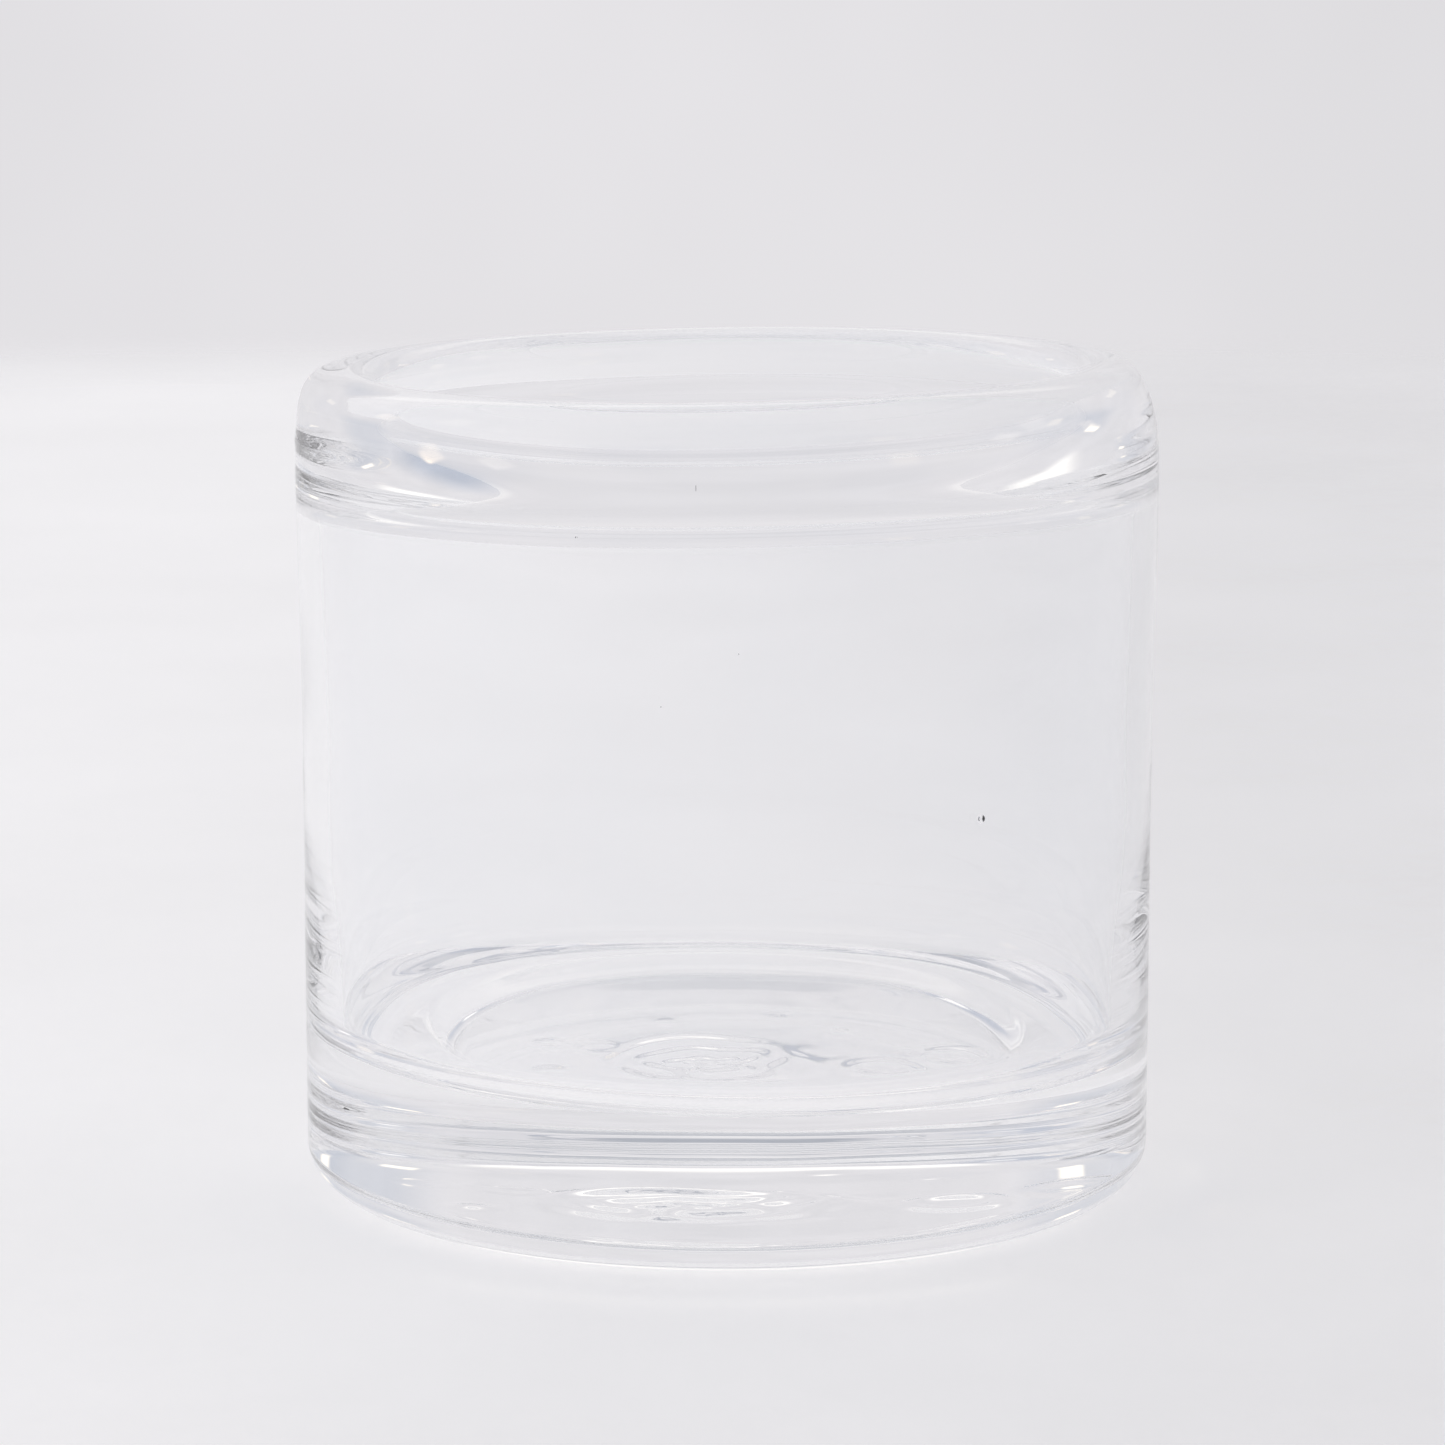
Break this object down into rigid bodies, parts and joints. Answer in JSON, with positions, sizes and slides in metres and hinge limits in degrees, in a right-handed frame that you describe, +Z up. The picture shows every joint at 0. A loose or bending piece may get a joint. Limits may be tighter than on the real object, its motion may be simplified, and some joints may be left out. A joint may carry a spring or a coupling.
{
  "type": "glass cylinder vase",
  "caption": "Short straight-sided clear glass vase with a thick dished base, a faintly hollow underside and a thick rounded lip turned slightly inwards.",
  "frame": {"origin": "centre of the flat foot ring, on the surface the vase stands on", "axes": "+Z up along the vase's axis of revolution, out of its mouth; X and Y are level and have no preferred direction on a round vase"},
  "size_m": [0.101, 0.101, 0.098],
  "materials": {
    "clear_glass": "clear colourless hand-blown glass, fire-polished, faintly wavy, with a few seed bubbles"
  },
  "bodies": {
    "root": {"glass_body": "clear_glass"}
  },
  "joints": []
}
